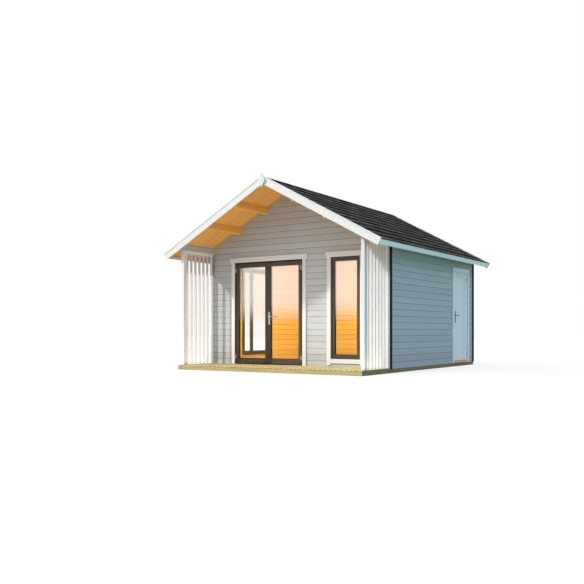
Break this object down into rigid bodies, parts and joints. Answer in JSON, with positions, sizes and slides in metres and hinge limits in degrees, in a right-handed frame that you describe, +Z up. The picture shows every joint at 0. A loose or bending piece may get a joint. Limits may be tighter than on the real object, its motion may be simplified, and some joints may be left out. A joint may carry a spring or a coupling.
{
  "type": "log cabin",
  "caption": "Gabled garden log cabin with a slatted porch, glazed double doors, tall windows and a side door; doors swing outward.",
  "frame": {"origin": "on the ground under the middle of the roof's outline", "axes": "+Y from the porch to the back wall, +X to the right seen from the porch, +Z up"},
  "size_m": [4.7132, 5.498, 3.5784],
  "materials": {
    "grey_logs": "light warm grey paint on planed logs",
    "white_wood": "white satin paint",
    "pine": "clear-coated pine",
    "treated_wood": "pressure-treated softwood, bare",
    "brown_wood": "dark brown satin paint",
    "black_wood": "black satin paint",
    "shingle": "charcoal mineral-faced bitumen shingles",
    "steel": "satin",
    "glass": "clear double units"
  },
  "bodies": {
    "cabin": {"base_frame": "treated_wood", "porch_deck": "treated_wood", "room_floor": "pine", "front_wall_left": "grey_logs", "front_wall_middle": "grey_logs", "front_wall_right": "grey_logs", "front_gable": "grey_logs", "right_wall_front": "grey_logs", "right_wall_back": "grey_logs", "left_wall_front": "grey_logs", "left_wall_back": "grey_logs", "infill_logs": "grey_logs", "back_wall": "grey_logs", "corner_boards": "black_wood", "eave_beams": "grey_logs", "purlins": "pine", "left_roof_boards": "pine", "right_roof_boards": "pine", "left_roof_covering": "shingle", "right_roof_covering": "shingle", "ridge_cap": "shingle", "left_bargeboards": "white_wood", "right_bargeboards": "white_wood", "edge_strips": "white_wood", "apex_plates": "white_wood", "eave_fascias": "white_wood", "porch_posts": "white_wood", "left_screen": "white_wood", "right_screen": "white_wood", "door_frame": "brown_wood", "frame_hinges": "steel", "window_frames": "brown_wood", "window_glass": "glass", "casings": "white_wood", "side_door_frame": "white_wood", "side_threshold": "pine"},
    "left_door": {"left_door_leaf": "brown_wood", "left_door_glass": "glass", "left_leaf_hardware": "steel"},
    "right_door": {"right_door_leaf": "brown_wood", "right_door_glass": "glass", "right_leaf_hardware": "steel"},
    "door_lever": {"door_lever": "steel"},
    "side_door": {"side_door_leaf": "white_wood", "side_leaf_hardware": "steel"},
    "side_lever": {"side_lever": "steel"}
  },
  "joints": [
    {"name": "left_door_hinge", "type": "hinge", "parent": "cabin", "child": "left_door", "pos_m": [-1.3785, -1.67, 1], "axis": [0, 0, -1], "range_deg": [0, 100]},
    {"name": "right_door_hinge", "type": "hinge", "parent": "cabin", "child": "right_door", "pos_m": [0.1665, -1.67, 1], "axis": [0, 0, 1], "range_deg": [0, 100]},
    {"name": "door_lever_turn", "type": "hinge", "parent": "right_door", "child": "door_lever", "pos_m": [-0.571, -1.66, 1.026], "axis": [0, 1, 0], "range_deg": [0, 40], "stiffness_Nm_per_rad": 1.5, "springref_deg": -28.65},
    {"name": "side_door_hinge", "type": "hinge", "parent": "cabin", "child": "side_door", "pos_m": [2.01, 2.2285, 1], "axis": [0, 0, 1], "range_deg": [0, 100]},
    {"name": "side_lever_turn", "type": "hinge", "parent": "side_door", "child": "side_lever", "pos_m": [2, 1.53, 1.078], "axis": [-1, 0, 0], "range_deg": [0, 40], "stiffness_Nm_per_rad": 1.5, "springref_deg": -28.65}
  ]
}
